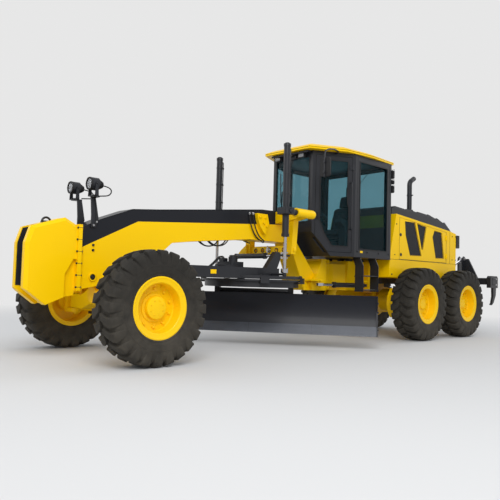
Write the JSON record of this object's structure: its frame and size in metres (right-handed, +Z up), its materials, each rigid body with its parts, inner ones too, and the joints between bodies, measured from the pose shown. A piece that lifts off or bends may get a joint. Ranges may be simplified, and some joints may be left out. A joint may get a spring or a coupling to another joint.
{
  "type": "motor grader",
  "caption": "Six-wheel articulated motor grader with a steered front axle, a moldboard hung from a geared circle under the drawbar, an enclosed cab and a rear ripper.",
  "frame": {"origin": "ground level under the middle of the machine's bounding box", "axes": "+Z up, -Y ahead, +X to the machine's left"},
  "size_m": [3.2382, 10.38, 3.285],
  "materials": {
    "yellow_paint": "gloss yellow enamel",
    "wheel_paint": "gloss yellow enamel on pressed steel",
    "black_paint": "satin black",
    "blade_steel": "satin blue-black paint",
    "chrome_rod": "polished",
    "bare_steel": "greased machined steel",
    "tyre_rubber": "matt rubber",
    "cab_glass": "tinted safety glass",
    "seat_fabric": "woven cloth",
    "console_plastic": "grained",
    "engine_iron": "painted casting"
  },
  "bodies": {
    "rear_frame": {"rear_frame": "yellow_paint", "tandem_axle": "yellow_paint", "engine": "engine_iron", "hood": "yellow_paint", "hood_deck": "black_paint", "cab_shell": "black_paint", "cab_roof": "yellow_paint", "cab_glass": "cab_glass", "seat": "seat_fabric", "console": "console_plastic", "ripper_bracket": "black_paint"},
    "front_frame": {"front_frame": "yellow_paint", "push_block": "yellow_paint", "nose_lamps": "black_paint", "front_axle": "yellow_paint"},
    "knuckle_left": {"steering_knuckle_left": "yellow_paint"},
    "knuckle_right": {"steering_knuckle_right": "yellow_paint"},
    "tie_rod": {"tie_rod": "black_paint"},
    "drawbar_ball": {"drawbar_ball": "bare_steel"},
    "drawbar": {"drawbar": "black_paint"},
    "circle": {"circle": "black_paint"},
    "drive_pinion": {"drive_pinion": "bare_steel"},
    "blade_carrier": {"blade_carrier": "black_paint"},
    "moldboard": {"moldboard": "blade_steel"},
    "side_shift_barrel": {"side_shift_barrel": "black_paint"},
    "side_shift_rod": {"side_shift_rod": "chrome_rod"},
    "ripper_beam": {"ripper_beam": "black_paint"},
    "ripper_barrel": {"ripper_barrel": "black_paint"},
    "ripper_rod": {"ripper_rod": "chrome_rod"},
    "articulation_barrel_left": {"articulation_barrel_left": "black_paint"},
    "articulation_rod_left": {"articulation_rod_left": "chrome_rod"},
    "lift_yoke_left": {"lift_yoke_left": "black_paint"},
    "lift_barrel_left": {"lift_barrel_left": "black_paint"},
    "lift_rod_left": {"lift_rod_left": "chrome_rod"},
    "cab_door_left": {"cab_door_left": "black_paint", "door_glass_left": "cab_glass"},
    "hood_door_left": {"hood_door_left": "yellow_paint"},
    "wheel_front_left": {"wheel_front_left": "wheel_paint", "tyre_front_left": "tyre_rubber"},
    "wheel_mid_left": {"wheel_mid_left": "wheel_paint", "tyre_mid_left": "tyre_rubber"},
    "wheel_rear_left": {"wheel_rear_left": "wheel_paint", "tyre_rear_left": "tyre_rubber"},
    "articulation_barrel_right": {"articulation_barrel_right": "black_paint"},
    "articulation_rod_right": {"articulation_rod_right": "chrome_rod"},
    "lift_yoke_right": {"lift_yoke_right": "black_paint"},
    "lift_barrel_right": {"lift_barrel_right": "black_paint"},
    "lift_rod_right": {"lift_rod_right": "chrome_rod"},
    "cab_door_right": {"cab_door_right": "black_paint", "door_glass_right": "cab_glass"},
    "hood_door_right": {"hood_door_right": "yellow_paint"},
    "wheel_front_right": {"wheel_front_right": "wheel_paint", "tyre_front_right": "tyre_rubber"},
    "wheel_mid_right": {"wheel_mid_right": "wheel_paint", "tyre_mid_right": "tyre_rubber"},
    "wheel_rear_right": {"wheel_rear_right": "wheel_paint", "tyre_rear_right": "tyre_rubber"}
  },
  "joints": [
    {"name": "articulation", "type": "hinge", "parent": "rear_frame", "child": "front_frame", "pos_m": [0, 0.22, 1.14], "axis": [0, 0, 1], "range_deg": [-25, 25]},
    {"name": "articulation_barrel_left", "type": "hinge", "parent": "rear_frame", "child": "articulation_barrel_left", "pos_m": [0.44, 0.88, 0.965], "axis": [0, 0, 1], "range_deg": [-11.5, 11.5]},
    {"name": "articulation_rod_left", "type": "slide", "parent": "articulation_barrel_left", "child": "articulation_rod_left", "axis": [-0.0333, -0.9994, 0], "range_m": [-0.19, 0.19]},
    {"name": "articulation_barrel_right", "type": "hinge", "parent": "rear_frame", "child": "articulation_barrel_right", "pos_m": [-0.44, 0.88, 0.965], "axis": [0, 0, 1], "range_deg": [-11.5, 11.5]},
    {"name": "articulation_rod_right", "type": "slide", "parent": "articulation_barrel_right", "child": "articulation_rod_right", "axis": [0.0333, -0.9994, 0], "range_m": [-0.19, 0.19]},
    {"name": "steer_left", "type": "hinge", "parent": "front_frame", "child": "knuckle_left", "pos_m": [0.79, -4.08, 0.66], "axis": [0, 0, 1], "range_deg": [-45, 45]},
    {"name": "steer_right", "type": "hinge", "parent": "front_frame", "child": "knuckle_right", "pos_m": [-0.79, -4.08, 0.66], "axis": [0, 0, 1], "range_deg": [-45, 45]},
    {"name": "tie_rod", "type": "hinge", "parent": "knuckle_left", "child": "tie_rod", "pos_m": [0.735, -3.855, 0.495], "axis": [0, 0, 1], "range_deg": [-49, 49]},
    {"name": "wheel_front_left_spin", "type": "hinge", "parent": "knuckle_left", "child": "wheel_front_left", "pos_m": [1.07, -4.08, 0.66], "axis": [1, 0, 0], "continuous": true},
    {"name": "wheel_mid_left_spin", "type": "hinge", "parent": "rear_frame", "child": "wheel_mid_left", "pos_m": [1.07, 1.7, 0.66], "axis": [1, 0, 0], "continuous": true},
    {"name": "wheel_rear_left_spin", "type": "hinge", "parent": "rear_frame", "child": "wheel_rear_left", "pos_m": [1.07, 3.24, 0.66], "axis": [1, 0, 0], "continuous": true},
    {"name": "wheel_front_right_spin", "type": "hinge", "parent": "knuckle_right", "child": "wheel_front_right", "pos_m": [-1.07, -4.08, 0.66], "axis": [1, 0, 0], "continuous": true},
    {"name": "wheel_mid_right_spin", "type": "hinge", "parent": "rear_frame", "child": "wheel_mid_right", "pos_m": [-1.07, 1.7, 0.66], "axis": [1, 0, 0], "continuous": true},
    {"name": "wheel_rear_right_spin", "type": "hinge", "parent": "rear_frame", "child": "wheel_rear_right", "pos_m": [-1.07, 3.24, 0.66], "axis": [1, 0, 0], "continuous": true},
    {"name": "drawbar_swing", "type": "hinge", "parent": "front_frame", "child": "drawbar_ball", "pos_m": [0, -3.44, 1], "axis": [0, 0, -1], "range_deg": [-8, 8]},
    {"name": "drawbar_lift", "type": "hinge", "parent": "drawbar_ball", "child": "drawbar", "pos_m": [0, -3.44, 1], "axis": [1, 0, 0], "range_deg": [-17, 7]},
    {"name": "lift_yoke_left", "type": "hinge", "parent": "front_frame", "child": "lift_yoke_left", "pos_m": [0.78, -1.6, 2.04], "axis": [0, 1, 0], "range_deg": [-16, 16]},
    {"name": "lift_barrel_left", "type": "hinge", "parent": "lift_yoke_left", "child": "lift_barrel_left", "pos_m": [0.78, -1.6, 2.04], "axis": [1, 0, 0], "range_deg": [-7, 7]},
    {"name": "lift_rod_left", "type": "slide", "parent": "lift_barrel_left", "child": "lift_rod_left", "axis": [0, 0, -1], "range_m": [-0.23, 0.55]},
    {"name": "lift_yoke_right", "type": "hinge", "parent": "front_frame", "child": "lift_yoke_right", "pos_m": [-0.78, -1.6, 2.04], "axis": [0, 1, 0], "range_deg": [-16, 16]},
    {"name": "lift_barrel_right", "type": "hinge", "parent": "lift_yoke_right", "child": "lift_barrel_right", "pos_m": [-0.78, -1.6, 2.04], "axis": [1, 0, 0], "range_deg": [-7, 7]},
    {"name": "lift_rod_right", "type": "slide", "parent": "lift_barrel_right", "child": "lift_rod_right", "axis": [0, 0, -1], "range_m": [-0.23, 0.55]},
    {"name": "side_shift_barrel", "type": "hinge", "parent": "front_frame", "child": "side_shift_barrel", "pos_m": [-0.63, -1.29, 1.4], "axis": [0, -1, 0], "range_deg": [-31.8, 13.2]},
    {"name": "side_shift_rod", "type": "slide", "parent": "side_shift_barrel", "child": "side_shift_rod", "axis": [1, 0, 0], "range_m": [-0.31, 0.31]},
    {"name": "circle_turn", "type": "hinge", "parent": "drawbar", "child": "circle", "pos_m": [0, -1.52, 1], "axis": [0, 0, 1], "continuous": true},
    {"name": "pinion_turn", "type": "hinge", "parent": "drawbar", "child": "drive_pinion", "pos_m": [0, -2.04, 0.95], "axis": [0, 0, 1], "continuous": true},
    {"name": "blade_tip", "type": "hinge", "parent": "circle", "child": "blade_carrier", "pos_m": [-0.1318, -1.3501, 0.36], "axis": [0.7902, 0.6129, 0], "range_deg": [-10, 25]},
    {"name": "blade_shift", "type": "slide", "parent": "blade_carrier", "child": "moldboard", "axis": [0.7902, 0.6129, 0], "range_m": [-0.6, 0.6]},
    {"name": "ripper_lift", "type": "hinge", "parent": "rear_frame", "child": "ripper_beam", "pos_m": [0, 3.96, 1.01], "axis": [1, 0, 0], "range_deg": [-35, 0]},
    {"name": "ripper_barrel", "type": "hinge", "parent": "rear_frame", "child": "ripper_barrel", "pos_m": [0.25, 4.07, 1.3], "axis": [1, 0, 0], "range_deg": [-39.5, 0]},
    {"name": "ripper_rod", "type": "slide", "parent": "ripper_barrel", "child": "ripper_rod", "axis": [0, 0.9422, 0.335], "range_m": [0, 0.19]},
    {"name": "cab_door_left_hinge", "type": "hinge", "parent": "rear_frame", "child": "cab_door_left", "pos_m": [0.7888, 0.0208, 2.3], "axis": [0, 0, 1], "range_deg": [0, 90]},
    {"name": "cab_door_right_hinge", "type": "hinge", "parent": "rear_frame", "child": "cab_door_right", "pos_m": [-0.7888, 0.0208, 2.3], "axis": [0, 0, -1], "range_deg": [0, 90]},
    {"name": "hood_door_left_hinge", "type": "hinge", "parent": "rear_frame", "child": "hood_door_left", "pos_m": [0.763, 3.29, 1.8], "axis": [0, 0, 1], "range_deg": [0, 80]},
    {"name": "hood_door_right_hinge", "type": "hinge", "parent": "rear_frame", "child": "hood_door_right", "pos_m": [-0.763, 3.29, 1.8], "axis": [0, 0, -1], "range_deg": [0, 80]}
  ],
  "couplings": [
    {"joint": "articulation_barrel_left", "follows": "articulation", "ratio": 0.437},
    {"joint": "articulation_rod_left", "follows": "articulation", "m_per_rad": -0.414},
    {"joint": "articulation_barrel_right", "follows": "articulation", "ratio": 0.437},
    {"joint": "articulation_rod_right", "follows": "articulation", "m_per_rad": 0.414},
    {"joint": "steer_right", "follows": "steer_left", "ratio": 1},
    {"joint": "tie_rod", "follows": "steer_left", "ratio": -1.073},
    {"joint": "lift_yoke_left", "follows": "drawbar_swing", "ratio": -1.905},
    {"joint": "lift_barrel_left", "follows": "drawbar_swing", "ratio": -0.8},
    {"joint": "lift_rod_left", "follows": "drawbar_lift", "m_per_rad": -1.83},
    {"joint": "lift_yoke_right", "follows": "drawbar_swing", "ratio": -1.905},
    {"joint": "lift_barrel_right", "follows": "drawbar_swing", "ratio": 0.8},
    {"joint": "lift_rod_right", "follows": "drawbar_lift", "m_per_rad": -1.83},
    {"joint": "side_shift_barrel", "follows": "drawbar_lift", "ratio": 1.86},
    {"joint": "side_shift_rod", "follows": "drawbar_swing", "m_per_rad": 2.15},
    {"joint": "pinion_turn", "follows": "circle_turn", "ratio": 5.3333},
    {"joint": "ripper_barrel", "follows": "ripper_lift", "ratio": 1.12},
    {"joint": "ripper_rod", "follows": "ripper_lift", "m_per_rad": -0.3}
  ]
}
